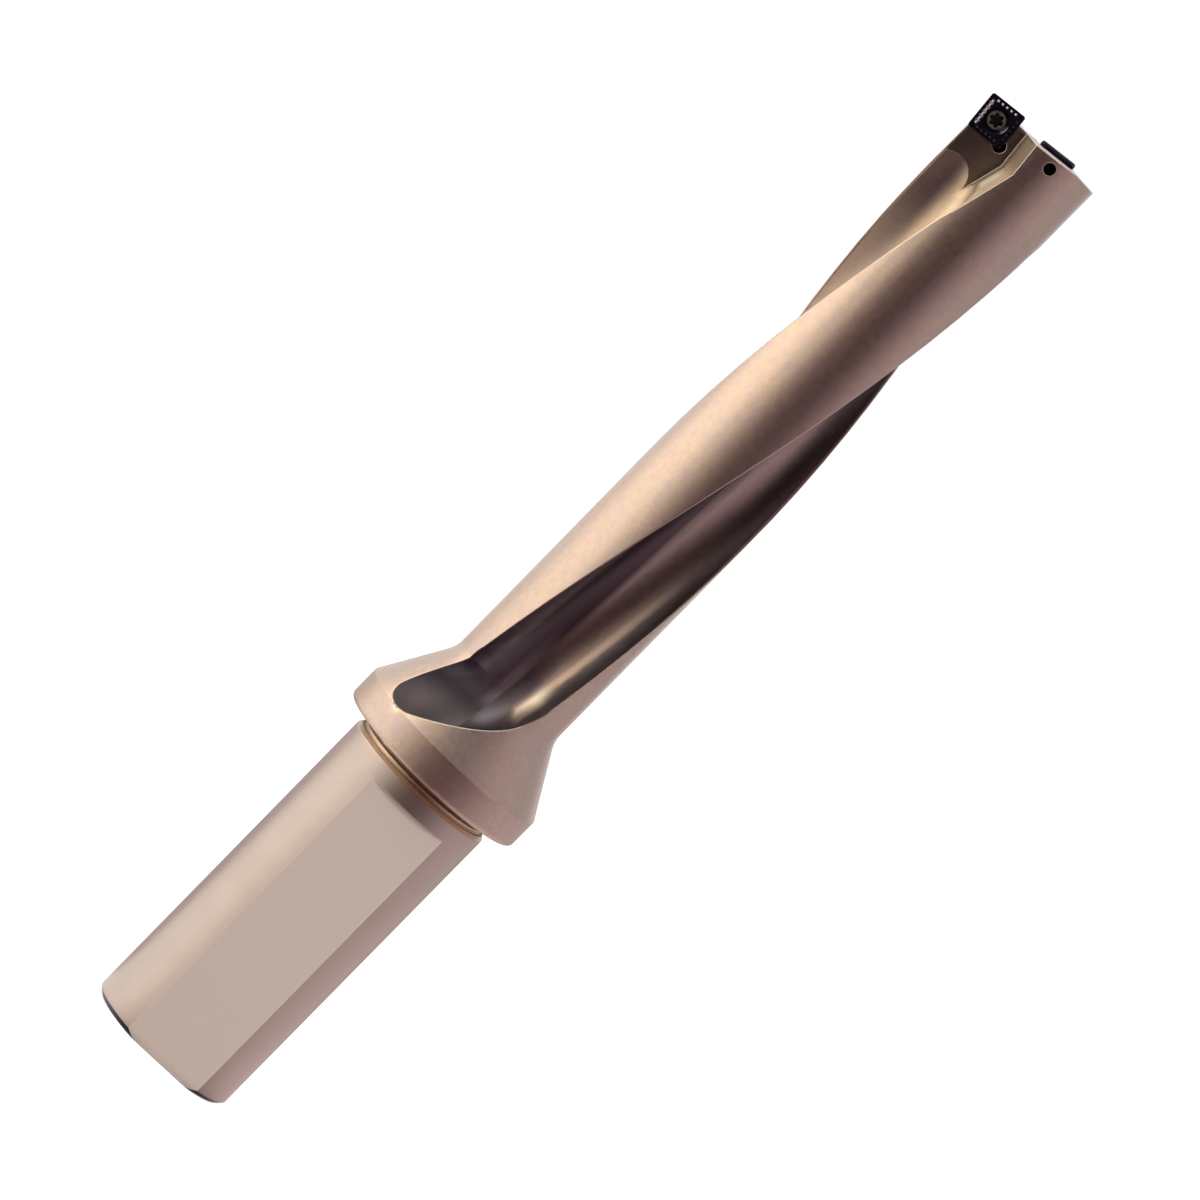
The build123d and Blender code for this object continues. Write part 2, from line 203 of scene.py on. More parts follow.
FOOT_DEPTHS = (2.4, 3.8, 4.8, 5.8)
FOOT_HEIGHTS = (70.2, 72.2, 75.0, 79.0)

# The wall across from it, with painted shade, and a rim and, low down, a middle painted lighter as
# reflections
SHADED_HIGH = (0.12, 0.088, 0.10)
SHADED_LOW = (0.20, 0.175, 0.205)
SHADED_HEIGHTS = (88.0, 74.0)
SHADED_MIDDLE = (0.34, 0.295, 0.325)
SHADED_MIDDLE_TURN = (0.75, 0.45)
SHADED_RIM_HIGH = (0.54, 0.475, 0.50)
SHADED_RIM_LOW = (0.36, 0.32, 0.38)
SHADED_RIM_HEIGHTS = (88.0, 76.0)
SHADED_DEPTHS = (3.4, 5.0)
SHADED_MATTE = 0.7
SIDES_MEET = (-0.15, 0.15)      # where one wall turns into the other

# The run-outs through the cone, with painted light and shade on both walls: one darker low down, the
# other lighter
RUNOUT_HEIGHTS = (72.8, 68.2)
RUNOUT_LIT_HIGH = (0.19, 0.18, 0.22)
RUNOUT_LIT_LOW = (0.08, 0.08, 0.095)
RUNOUT_LIT_HEIGHTS = (68.5, 65.5)
RUNOUT_SHADED_HIGH = (0.085, 0.065, 0.075)
RUNOUT_SHADED_LOW = (0.27, 0.235, 0.25)
RUNOUT_SHADED_HEIGHTS = (69.0, 63.5)

# The shaded wall's front part, towards the tip, painted light low down and painted shade high up, with
# gold reflections painted by depth, and the milled face under the insert
FRONT_START = (122.0, 140.0)
FRONT_LOW = (1.0, 0.79, 0.62)
FRONT_HIGH = (0.10, 0.065, 0.068)
FRONT_HEIGHTS = (141.0, 169.0)
GOLD = (0.46, 0.35, 0.25)
GOLD_DEPTHS = (3.0, 5.4)
DEEP_GOLD = (0.60, 0.475, 0.36)
DEEP_GOLD_DEPTHS = (5.8, 6.8)
FACE = (0.20, 0.165, 0.155)
FACE_START = (165.5, 167.5)
FACE_TURN = (0.975, 0.988)      # how square to the tool's Y axis it looks
FACE_ALL_ABOVE = (173.5, 173.9)
FACE_INSIDE = (4.3, 4.8)

# The bent wall beside an insert, painted light in gold and painted shade, browner at the top. Distances
# out are from the insert's face
WALL = (0.86, 0.68, 0.48)
WALL_START = (147.0, 168.0)
WALL_TOP = (0.39, 0.30, 0.225)
WALL_TOP_HEIGHTS = (175.9, 179.4)
WALL_MATTE = 0.8
OUTER_HALF = (0.5, -0.5)        # only the outer insert's wall has the painted facet highlight and the painted shade line
# A highlight painted in the shape of a bright facet, and a shade line painted along the wall's foot
FACET_HIGHLIGHT = (1.0, 0.98, 0.90)
FACET_OUT = (1.9, 3.3, 5.2, 6.6)
FACET_HEIGHTS = (172.8, 173.5, 175.6, 177.4)
FOOT_SHADE_LINE = (0.22, 0.17, 0.13)
FOOT_LINE_OUT = (0.8, 1.5, 1.6, 2.4)
FOOT_LINE_HEIGHTS = (168.5, 174.0)


def flute_depth(nodes, split):
    """How far a point lies inside the round that the flutes are milled into."""
    squares = [nodes.math("POWER", split.outputs[axis], 2.0) for axis in ("X", "Y")]
    radius = nodes.math("SQRT", nodes.math("ADD", *squares))
    below_top = nodes.math("SUBTRACT", CONE_TOP * MM, split.outputs["Z"])
    cone = nodes.product(below_top, math.tan(math.radians(CONE_HALF_ANGLE)))
    round_here = nodes.math("ADD", nodes.math("MAXIMUM", cone, 0.0), BODY_RADIUS * MM)
    round_here = nodes.math("MINIMUM", round_here, FLANGE_RADIUS * MM)
    return nodes.math("SUBTRACT", round_here, radius)


def flute_mask(nodes, depth, height):
    """1 in a flute or pocket, 0 on the body's own round and on its front."""
    deep = nodes.fade_mm(depth, FLUTE_DEPTHS)
    return nodes.product(deep, nodes.fade_mm(height, FLUTES_LOW), nodes.fade_mm(height, FLUTES_HIGH))


def side_turn(nodes, split, normal):
    """Which way a wall looks round the tool's axis, from -1 to 1."""
    back = nodes.math("MULTIPLY", split.outputs["Y"], -1.0)
    level = nodes.add("ShaderNodeCombineXYZ", {"X": back, "Y": split.outputs["X"]}).outputs[0]
    around = nodes.add("ShaderNodeVectorMath", {0: level}, operation="NORMALIZE").outputs[0]
    return nodes.dot(normal, around)


def lit_wall(nodes, height, depth, turned):
    """A soft painted glint, a floor painted dark low down, a brow painted dark, and a painted highlight
    streak with a bright foot.
    """
    offset = GLINT_TURN - GLINT_DRIFT * GLINT_HEIGHT * MM
    centre = nodes.math("MULTIPLY_ADD", height, GLINT_DRIFT, offset)
    off = nodes.math("ABSOLUTE", nodes.math("ADD", turned, centre))
    glint = nodes.product(nodes.fade(off, GLINT_REACH), nodes.fade_mm(height, GLINT_HEIGHTS))
    tone = nodes.mix(glint, LIT_BASE, GLINT)
    floor = nodes.product(nodes.fade_mm(depth, FLOOR_DEPTHS), nodes.fade_mm(height, FLOOR_HEIGHTS))
    tone = nodes.mix(floor, tone, FLOOR_LOW)
    brow = nodes.mix(nodes.fade_mm(height, BROW_HEIGHTS), BROW_HIGH, BROW_LOW)
    tone = nodes.mix(nodes.fade_mm(depth, BROW_DEPTHS), tone, brow)
    above_bend = nodes.math("MAXIMUM", nodes.math("SUBTRACT", height, STREAK_BEND * MM), 0.0)
    straightened = nodes.math("ADD", depth, nodes.product(above_bend, STREAK_DRIFT))
    streak = nodes.band_mm(straightened, STREAK_DEPTHS)
    streak = nodes.product(streak, nodes.band_mm(height, STREAK_HEIGHTS))
    foot = nodes.product(nodes.band_mm(depth, FOOT_DEPTHS), nodes.band_mm(height, FOOT_HEIGHTS))
    return nodes.mix(foot, nodes.mix(streak, tone, STREAK), STREAK_FOOT)


def shaded_wall(nodes, height, depth, turned):
    """Painted shade, with a rim and, low down, a middle painted lighter as reflections."""
    low = nodes.fade_mm(height, SHADED_HEIGHTS)
    tone = nodes.mix(low, SHADED_HIGH, SHADED_LOW)
    tone = nodes.mix(nodes.product(nodes.fade(turned, SHADED_MIDDLE_TURN), low), tone, SHADED_MIDDLE)
    rim = nodes.mix(nodes.fade_mm(height, SHADED_RIM_HEIGHTS), SHADED_RIM_HIGH, SHADED_RIM_LOW)
    return nodes.mix(nodes.fade_mm(depth, SHADED_DEPTHS), rim, tone)


def distance_out(nodes, place):
    """How far a point of a bent wall stands out from the plane of its insert's face."""
    distances = []
    for node, bearing, tilt in INSERTS:
        face = insert_place(node, bearing, tilt)
        facing = face.to_3x3().col[2]
        along = nodes.dot(place, facing)
        distances.append(nodes.math("SUBTRACT", along, facing.dot(face.translation)))
    return nodes.math("MAXIMUM", *distances)


def bent_wall(nodes, place, split):
    """Painted light in gold, browner at the top as painted shade, with a painted facet highlight and a
    painted shade line along its foot.
    """
    height = split.outputs["Z"]
    outer = nodes.fade_mm(split.outputs["Y"], OUTER_HALF)
    out = distance_out(nodes, place)
    tone = nodes.mix(nodes.fade_mm(height, WALL_TOP_HEIGHTS), WALL, WALL_TOP)
    facet = nodes.product(nodes.band_mm(height, FACET_HEIGHTS), nodes.band_mm(out, FACET_OUT), outer)
    line = nodes.product(nodes.band_mm(out, FOOT_LINE_OUT), outer)
    line = nodes.product(line, nodes.fade_mm(height, FOOT_LINE_HEIGHTS))
    return nodes.mix(line, nodes.mix(facet, tone, FACET_HIGHLIGHT), FOOT_SHADE_LINE)


def milled_face(nodes, height, depth, normal):
    """1 on the flat face under an insert."""
    across = nodes.add("ShaderNodeSeparateXYZ", {"Vector": normal}).outputs["Y"]
    square = nodes.fade(nodes.math("ABSOLUTE", across), FACE_TURN)
    high = nodes.fade_mm(height, FACE_ALL_ABOVE)
    there = nodes.math("MAXIMUM", high, nodes.fade_mm(depth, FACE_INSIDE))
    return nodes.product(square, there, nodes.fade_mm(height, FACE_START))


def flute_finish(nodes, place, split, depth):
    """The colour of the flutes and pockets, with light and shade painted into it, and how matte they
    are.
    """
    height = split.outputs["Z"]
    normal = nodes.add("ShaderNodeNewGeometry").outputs["Normal"]
    turned = side_turn(nodes, split, normal)
    shaded_side = nodes.fade(turned, SIDES_MEET)
    runout = nodes.fade_mm(height, RUNOUT_HEIGHTS)
    wall_there = nodes.fade_mm(height, WALL_START)

    lit_tone = lit_wall(nodes, height, depth, turned)
    low = nodes.fade_mm(height, RUNOUT_LIT_HEIGHTS)
    lit_tone = nodes.mix(runout, lit_tone, nodes.mix(low, RUNOUT_LIT_HIGH, RUNOUT_LIT_LOW))
    lit_tone = nodes.mix(wall_there, lit_tone, bent_wall(nodes, place, split))

    shaded_tone = shaded_wall(nodes, height, depth, turned)
    low = nodes.fade_mm(height, RUNOUT_SHADED_HEIGHTS)
    shaded_tone = nodes.mix(runout, shaded_tone, nodes.mix(low, RUNOUT_SHADED_HIGH, RUNOUT_SHADED_LOW))
    front = nodes.mix(nodes.fade_mm(height, FRONT_HEIGHTS), FRONT_LOW, FRONT_HIGH)
    gold = nodes.fade_mm(depth, GOLD_DEPTHS)
    gold_tone = nodes.mix(nodes.fade_mm(depth, DEEP_GOLD_DEPTHS), GOLD, DEEP_GOLD)
    front = nodes.mix(gold, front, gold_tone)
    face = milled_face(nodes, height, depth, normal)
    front = nodes.mix(face, front, FACE)
    front_there = nodes.fade_mm(height, FRONT_START)
    shaded_tone = nodes.mix(front_there, shaded_tone, front)

    bare_front = nodes.product(front_there, nodes.rest(gold), nodes.rest(face))
    shaded_matte = nodes.product(shaded_side, nodes.math("MAXIMUM", bare_front, runout), SHADED_MATTE)
    wall_matte = nodes.product(nodes.rest(shaded_side), wall_there, WALL_MATTE)
    return nodes.mix(shaded_side, lit_tone, shaded_tone), nodes.math("MAXIMUM", shaded_matte, wall_matte)


# The body's coating, with painted edge highlights, and painted shade in hollows and on the shank's end
# chamfer. A noise is its scale, detail and roughness
MOTTLE_NOISE = (1100.0, 4.0, 0.65)
CLOUD_NOISE = (160.0, 3.0, 0.5)
TINGE_NOISE = (900.0, 3.0, 0.6)
BLAST_NOISE = (5200.0, 2.0, 0.5)
NOISE_SPREAD = (0.3, 0.7)
CLOUD_SPREAD = (0.35, 0.65)
TINGE_SPREAD = (0.42, 0.72)
COAT_DARK = (0.54, 0.415, 0.33)
COAT_LIGHT = (0.61, 0.485, 0.395)
COAT_CLOUD = (0.565, 0.45, 0.375)
COAT_TINGE = (0.53, 0.405, 0.385)
GROUND_DARK = (0.49, 0.405, 0.365)
GROUND_LIGHT = (0.51, 0.425, 0.385)
UNDERCUT_TONE = (0.84, 0.62, 0.42)
FLAT_TONE = (0.64, 0.54, 0.48)
# shade painted on the shank's end chamfer
CHAMFER_SHADE = (0.05, 0.055, 0.10)
FLUTE_GRAIN = ((0.85, 0.84, 0.86), (1.15, 1.14, 1.12))
HOLLOW_REACH = 2.5              # how far the shade in holes and in the groove reaches
HOLLOW_SAMPLES = 6
HOLLOW_OPEN = (0.2, 0.75)
HOLLOW_SHADE = (0.10, 0.08, 0.09)
EDGE_RADIUS = 0.24
EDGE_SAMPLES = 8
EDGE_TURN = (0.985, 0.86)
EDGE_HEIGHTS = (1.0, 1.6)       # the shank's end has no painted edge highlight
# a highlight painted on the edges
EDGE_HIGHLIGHT = (0.80, 0.70, 0.60)
BLAST_STRENGTH = 0.22
BLAST_DEPTH = 0.02
BODY_ROUGHNESS = (0.10, 0.335)  # a share of the mottle, and the least
FLAT_MATTE = 0.75


def undercut_mask(nodes, height):
    """1 in the turned groove between shank and flange."""
    return nodes.product(nodes.fade_mm(height, UNDERCUT_LOW), nodes.fade_mm(height, UNDERCUT_HIGH))


def coat_tone(nodes, place, mottle, shank):
    """The mottled champagne coating, and the ground shank's plainer tone."""
    cloud = nodes.noise(place, *CLOUD_NOISE)
    tinge = nodes.noise(place, *TINGE_NOISE)
    coat = nodes.mix(nodes.fade(mottle, NOISE_SPREAD), COAT_DARK, COAT_LIGHT)
    coat = nodes.mix(nodes.fade(cloud, CLOUD_SPREAD), coat, COAT_CLOUD)
    coat = nodes.mix(nodes.fade(tinge, TINGE_SPREAD), coat, COAT_TINGE)
    ground = nodes.mix(nodes.fade(cloud, NOISE_SPREAD), GROUND_DARK, GROUND_LIGHT)
    return nodes.mix(shank, coat, ground)


def body_material():
    """Satin nickel-coated steel, champagne in colour. The shank is ground smoother."""
    material, nodes, shader = new_material("satin_steel", Metallic=1.0)
    place = nodes.add("ShaderNodeTexCoord").outputs["Object"]
    split = nodes.add("ShaderNodeSeparateXYZ", {"Vector": place})
    height = split.outputs["Z"]
    normal = nodes.add("ShaderNodeNewGeometry").outputs["Normal"]
    bevel = nodes.add("ShaderNodeBevel", {"Radius": EDGE_RADIUS * MM}, samples=EDGE_SAMPLES)
    rounded = bevel.outputs["Normal"]
    mottle = nodes.noise(place, *MOTTLE_NOISE)
    shank = nodes.fade_mm(height, SHANK_END)
    flat = nodes.product(nodes.fade_mm(split.outputs["Y"], FLAT_EDGE), nodes.fade_mm(height, FLAT_END))
    # Shade painted dark blue-black on the shank's end chamfer, except at the flat
    chamfer = nodes.product(nodes.fade_mm(height, CHAMFER_END), nodes.rest(flat))
    depth = flute_depth(nodes, split)
    flute = flute_mask(nodes, depth, height)
    inside, matte = flute_finish(nodes, place, split, depth)
    open_share = nodes.fade(nodes.hollow(HOLLOW_REACH, HOLLOW_SAMPLES), HOLLOW_OPEN)
    # A highlight painted along the edges, where the rounded normal turns from the true one
    edge = nodes.fade(nodes.dot(rounded, normal), EDGE_TURN)
    edge = nodes.product(edge, nodes.fade_mm(height, EDGE_HEIGHTS))

    colour = coat_tone(nodes, place, mottle, shank)
    colour = nodes.mix(undercut_mask(nodes, height), colour, UNDERCUT_TONE)
    colour = nodes.mix(flat, colour, FLAT_TONE)
    colour = nodes.mix(chamfer, colour, CHAMFER_SHADE)
    colour = nodes.mix(flute, colour, nodes.tint(inside, nodes.mix(mottle, *FLUTE_GRAIN)))
    colour = nodes.tint(colour, nodes.mix(open_share, HOLLOW_SHADE, WHITE))
    colour = nodes.mix(edge, colour, EDGE_HIGHLIGHT)

    dull = nodes.math("MAXIMUM", nodes.product(flat, FLAT_MATTE), nodes.product(matte, flute))
    blasted = {
        "Strength": nodes.product(nodes.rest(shank), BLAST_STRENGTH),
        "Distance": BLAST_DEPTH * MM,
        "Height": nodes.noise(place, *BLAST_NOISE),
        "Normal": rounded,
    }
    nodes.link(
        shader,
        Base_Color=colour,
        Metallic=nodes.rest(dull),
        Roughness=nodes.math("MULTIPLY_ADD", mottle, *BODY_ROUGHNESS),
        Normal=nodes.add("ShaderNodeBump", blasted).outputs["Normal"],
    )
    return material


# Inserts and screws. A roughness is a share of the grain, and the least
CARBIDE_NOISE = (4000.0, 3.0, 0.6)
CARBIDE_CLOUD = (500.0, 2.0, 0.5)
CARBIDE_DARK = (0.016, 0.013, 0.026)
CARBIDE_LIGHT = (0.028, 0.022, 0.045)
# highlights painted on the insert's face
CARBIDE_GLINT = (0.88, 0.82, 0.92)
CARBIDE_EDGE_ON = (0.2, 0.18, 0.26)
CARBIDE_BUMP = 0.15
CARBIDE_ROUGHNESS = (0.15, 0.24)
SCREW_NOISE = (3000.0, 3.0, 0.6)
SCREW_DARK = (0.15, 0.12, 0.10)
SCREW_LIGHT = (0.24, 0.195, 0.165)
# shade painted black deep in the socket
SOCKET_SHADE = (0.008, 0.007, 0.008)
SOCKET_REACH = 2.0
SOCKET_SAMPLES = 12
SOCKET_OPEN = (0.62, 0.92)
SCREW_BUMP = 0.2
SCREW_ROUGHNESS = (0.2, 0.3)
GRAIN_DEPTH = 0.01


def grained(nodes, shader, colour, grain, bump, roughness):
    """Links a colour and a fine grain to a shader."""
    inputs = {"Strength": bump, "Distance": GRAIN_DEPTH * MM, "Height": grain}
    nodes.link(
        shader,
        Base_Color=colour,
        Roughness=nodes.math("MULTIPLY_ADD", grain, *roughness),
        Normal=nodes.add("ShaderNodeBump", inputs).outputs["Normal"],
    )


def carbide_material():
    """Coated carbide, near black with a violet tint, and paler where highlights are painted."""
    edge_on = opaque(CARBIDE_EDGE_ON)
    material, nodes, shader = new_material("coated_carbide", Metallic=0.9, Specular_Tint=edge_on)
    place = nodes.add("ShaderNodeTexCoord").outputs["Object"]
    grain = nodes.noise(place, *CARBIDE_NOISE)
    cloud = nodes.noise(place, *CARBIDE_CLOUD)
    colour = nodes.mix(nodes.fade(cloud, NOISE_SPREAD), CARBIDE_DARK, CARBIDE_LIGHT)
    painted_glint = nodes.add("ShaderNodeAttribute", attribute_name="painted_glint").outputs["Fac"]
    colour = nodes.mix(painted_glint, colour, CARBIDE_GLINT)
    grained(nodes, shader, colour, grain, CARBIDE_BUMP, CARBIDE_ROUGHNESS)
    return material


def screw_material():
    """Dull bronze-grey steel, with shade painted black inside the socket."""
    material, nodes, shader = new_material("screw_steel", Metallic=0.55)
    place = nodes.add("ShaderNodeTexCoord").outputs["Object"]
    grain = nodes.noise(place, *SCREW_NOISE)
    colour = nodes.mix(nodes.fade(grain, NOISE_SPREAD), SCREW_DARK, SCREW_LIGHT)
    # Shade painted black deep in the socket
    open_share = nodes.fade(nodes.hollow(SOCKET_REACH, SOCKET_SAMPLES), SOCKET_OPEN)
    colour = nodes.mix(open_share, SOCKET_SHADE, colour)
    grained(nodes, shader, colour, grain, SCREW_BUMP, SCREW_ROUGHNESS)
    return material


def dress(node, material):
    """Gives a CAD node its finish."""
    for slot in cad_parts[node].material_slots:
        slot.material = material


def insert_turn(bearing, tilt):
    """The rotation from an insert's own frame, face up, to the tool's."""
    turn = math.radians(bearing)
    rake = math.tan(math.radians(FACE_RAKE))
    facing = Vector((math.sin(turn), -math.cos(turn), -rake)).normalized()
    level = Vector((math.cos(turn), math.sin(turn), 0.0))
    columns = Matrix((level, facing.cross(level), facing)).transposed()
    return columns @ Matrix.Rotation(math.radians(tilt), 3, "Z")


def insert_place(node, bearing, tilt):
    """An insert's frame, face up at Z = 0, found from where its CAD node is."""
    turn = insert_turn(bearing, tilt)
    back = turn.transposed()
    points = [back @ vertex.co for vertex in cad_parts[node].data.vertices]
    low = [min(p[i] for p in points) for i in range(3)]
    high = [max(p[i] for p in points) for i in range(3)]
    middle = Vector(((low[0] + high[0]) / 2, (low[1] + high[1]) / 2, high[2]))
    return Matrix.Translation(turn @ middle) @ turn.to_4x4()


# Insert face: a narrow land, then a chip groove with bumps, then the middle (mm)
RING_POINTS = 480
FACE_RINGS = 44
INSERT_SHARP = 40.0             # edges that turn more degrees than this are sharp
HALF_SIDE = INSERT_SIDE / 2
EDGE_HONE = 0.03
HONE_DROP = 0.3 * EDGE_HONE     # midway round the hone: how far down, and how far in
GROOVE_START = 0.16
GROOVE_START_LENGTH = 0.12
GROOVE_END = 0.62
GROOVE_END_LENGTH = 0.16
GROOVE_DEPTH = 0.18
MIDDLE_DEPTH = 0.03
BUMP_PITCH = 0.79
BUMP_INSET = 0.56
BUMP_RADIUS = 0.23
BUMP_HEIGHT = 0.17
BUMPS_PER_EDGE = 5
SINK_BREAK_IN = 0.05            # the broken edge of the countersink, inwards and outwards
SINK_BREAK_OUT = 0.03
FOOT_BREAK = 0.05               # the broken edge round the seat
LEAST_CORNER = 0.05

# Highlights painted on an insert, from 0 to 1 (distances in mm)
INSERT_GLINT_BORDER = 0.2               # no painted highlight so near an edge of the face
INSERT_GLINT_LOWEST = -0.5              # and none below this height
CREST_START = 0.02
CREST_LENGTH = 0.1
SINK_GLINT = 0.35                # a crescent on the countersink
SINK_GLINT_TURN = 0.25           # radians
SINK_GLINT_START = 0.90          # cosines of the turn away from its middle
SINK_GLINT_LENGTH = 0.08
SINK_GLINT_BEYOND = 0.04         # how far it goes past the countersink's rim
SINK_GLINT_OFF_HEAD = 0.1        # and how far off the screw's head it ends
RIBBON_INSET = 0.80
RIBBON_HALF_WIDTH = 0.11
RIBBON_SOFTNESS = 0.12
RIBBON_WAVE = 0.09
RIBBON_REACH = 2.1              # from its middle
RIBBON_CORNER = 0.3
RIBBON_CREST_GLINT = 0.25        # of the bumps beside the ribbon
OTHER_CREST_GLINT = 0.05         # of the bumps along the two edges that don't cut


def smooth(value):
    value = min(max(value, 0.0), 1.0)
    return value * value * (3 - 2 * value)


def square_point(angle, half, corner):
    """A point of a square with rounded corners, on a ray from its middle."""
    reach = half - corner
    x, y = math.cos(angle), math.sin(angle)
    scale = half / max(abs(x), abs(y))
    px, py = x * scale, y * scale
    if min(abs(px), abs(py)) <= reach:
        return px, py
    cx, cy = math.copysign(reach, px), math.copysign(reach, py)
    along = x * cx + y * cy
    far = along + math.sqrt(along * along - cx * cx - cy * cy + corner * corner)
    return x * far, y * far


def ring_angles():
    """Rays through the square's outline, denser towards the corners."""
    quarter = RING_POINTS // 4
    angles = []
    for side in range(4):
        for step in range(quarter):
            across = 2 * (step + 0.5) / quarter - 1
            angles.append(side * math.pi / 2 + math.atan(across))
    return angles


def inset(x, y):
    """How far a point of the face lies inside the square's sides."""
    return HALF_SIDE - max(abs(x), abs(y))


def bump_height(x, y):
    """The row of round bumps in the chip groove along each side."""
    line = HALF_SIDE - BUMP_INSET
    best = 0.0
    for u, v in ((x, y), (y, x)):
        side = math.copysign(line, v)
        for index in range(BUMPS_PER_EDGE):
            middle = (index - (BUMPS_PER_EDGE - 1) / 2) * BUMP_PITCH
            distance = math.hypot(u - middle, v - side)
            if distance < BUMP_RADIUS:
                best = max(best, BUMP_HEIGHT * (1 - (distance / BUMP_RADIUS) ** 2))
    return best


def face_depth(x, y):
    """The chip former's height below the cutting edge."""
    depth_in = inset(x, y)
    down = smooth((depth_in - GROOVE_START) / GROOVE_START_LENGTH) * GROOVE_DEPTH
    up = smooth((depth_in - GROOVE_END) / GROOVE_END_LENGTH) * (GROOVE_DEPTH - MIDDLE_DEPTH)
    return -down + up + bump_height(x, y)


def insert_rings():
    """Closed rings of points, from the hole's foot up, over the face and down the flank."""
    angles = ring_angles()
    rings = []
    slope = math.tan(math.radians(SCREW_HEAD_ANGLE / 2))
    for radius, height in (
        (INSERT_HOLE_RADIUS, -INSERT_THICKNESS),
        (INSERT_HOLE_RADIUS, -(INSERT_SINK_RADIUS - INSERT_HOLE_RADIUS) / slope),
        (INSERT_SINK_RADIUS - SINK_BREAK_IN, -SINK_BREAK_IN / slope - MIDDLE_DEPTH),
        (INSERT_SINK_RADIUS + SINK_BREAK_OUT, -MIDDLE_DEPTH),
    ):
        rings.append([(radius * math.cos(a), radius * math.sin(a), height) for a in angles])
    inner = INSERT_SINK_RADIUS + SINK_BREAK_OUT
    for step in range(1, FACE_RINGS + 1):
        share = step / FACE_RINGS
        ring = []
        for a in angles:
            ox, oy = square_point(a, HALF_SIDE - EDGE_HONE, INSERT_CORNER_RADIUS - EDGE_HONE)
            reach = inner + (math.hypot(ox, oy) - inner) * share
            x, y = reach * math.cos(a), reach * math.sin(a)
            ring.append((x, y, min(face_depth(x, y), 0.0)))
        rings.append(ring)
    draw_in = math.tan(math.radians(INSERT_RELIEF))
    for depth, edge in (
        (HONE_DROP, HONE_DROP),
        (EDGE_HONE, 0.0),
        (INSERT_THICKNESS - FOOT_BREAK, 0.0),
        (INSERT_THICKNESS, FOOT_BREAK),
    ):
        shrink = depth * draw_in + edge
        corner = max(INSERT_CORNER_RADIUS - shrink / 2, LEAST_CORNER)
        rings.append([square_point(a, HALF_SIDE - shrink, corner) + (-depth,) for a in angles])
    return rings


def insert_glints(x, y, height):
    """Highlights painted on the front's bumps, in a ribbon along the rim side and on the countersink.
    """
    if height < INSERT_GLINT_LOWEST or max(abs(x), abs(y)) > HALF_SIDE - INSERT_GLINT_BORDER:
        return 0.0
    radius = math.hypot(x, y)
    if radius < INSERT_SINK_RADIUS + SINK_GLINT_BEYOND:
        turn = math.cos(math.atan2(y, x) + SINK_GLINT_TURN)
        crescent = smooth((turn - SINK_GLINT_START) / SINK_GLINT_LENGTH)
        return SINK_GLINT * crescent * (radius > SCREW_HEAD_RADIUS + SINK_GLINT_OFF_HEAD)
    crest = smooth((bump_height(x, y) - CREST_START) / CREST_LENGTH)
    if -x > abs(y) - RIBBON_CORNER:
        middle = RIBBON_INSET + RIBBON_WAVE * math.cos(2 * math.pi * y / BUMP_PITCH)
        ribbon = 1 - smooth((abs(inset(x, y) - middle) - RIBBON_HALF_WIDTH) / RIBBON_SOFTNESS)
        return max(RIBBON_CREST_GLINT * crest, ribbon * (abs(y) < RIBBON_REACH))
    return crest if y > abs(x) else OTHER_CREST_GLINT * crest


def new_piece(name, points, faces, material):
    mesh = bpy.data.meshes.new(name)
    mesh.from_pydata(points, [], faces)
    mesh.materials.append(material)
    piece = bpy.data.objects.new(name, mesh)
    bpy.context.scene.collection.objects.link(piece)
    return piece


def piece_from_rings(name, rings, matrix, material, close):
    """A piece of quads between rings of points. It closes end to end, or gets end caps."""
    count = len(rings[0])
    points = [tuple(matrix @ (Vector(p) * MM)) for ring in rings for p in ring]
    faces = []
    for index in range(len(rings) if close else len(rings) - 1):
        low, high = index * count, ((index + 1) % len(rings)) * count
        for step in range(count):
            after = (step + 1) % count
            faces.append((low + step, high + step, high + after, low + after))
    if not close:
        faces.append(tuple(range(count)))
        faces.append(tuple(reversed(range(len(points) - count, len(points)))))
    return new_piece(name, points, faces, material)


def sharpen(piece, degrees):
    """Shades a piece smooth, except at edges that turn more than so many degrees."""
    bpy.ops.object.select_all(action="DESELECT")
    piece.select_set(True)
    bpy.context.view_layer.objects.active = piece
    bpy.ops.object.shade_smooth_by_angle(angle=math.radians(degrees))


def add_insert(node, bearing, tilt, material):
    """An insert with its chip former, in the place of its CAD node."""
    place = insert_place(node, bearing, tilt)
    rings = insert_rings()
    piece = piece_from_rings(node + "_detail", rings, place, material, close=True)
    # Highlights painted on the face, kept on the points
    painted_glint = piece.data.attributes.new("painted_glint", "FLOAT", "POINT")
    for index, point in enumerate(point for ring in rings for point in ring):
        painted_glint.data[index].value = insert_glints(*point)
    sharpen(piece, INSERT_SHARP)
    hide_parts(node)
    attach(piece, BODY)
    return place


# Screw: socket, head and rolled thread (mm)
SCREW_POINTS = 144
SCREW_SHARP = 35.0              # degrees, as for the inserts
SOCKET_RADIUS = 1.09
SOCKET_WAIST = 0.80
SOCKET_DEPTH = 0.9
SOCKET_DISH = 0.12
SOCKET_DISH_RADIUS = 0.45
SOCKET_DRILL_RADIUS = 0.05
SOCKET_FOOT = 0.05              # the rounding at the socket's foot: how high, and how far in
SOCKET_FOOT_IN = 0.04
SOCKET_RIM = 0.06               # the broken edge of the socket: how deep, and how far out
SOCKET_RIM_OUT = 0.05
SOCKET_LAND = 0.16
SOCKET_LOBES = 6
LOBE_SHARPNESS = 0.8
HEAD_EDGE = 0.06
HEAD_EDGE_IN = 0.01
THREAD_PITCH = 0.45
THREAD_DEPTH = 0.2
THREAD_STEPS = 12
THREAD_FLANKS = 1.25            # the pitch, over the width of the groove
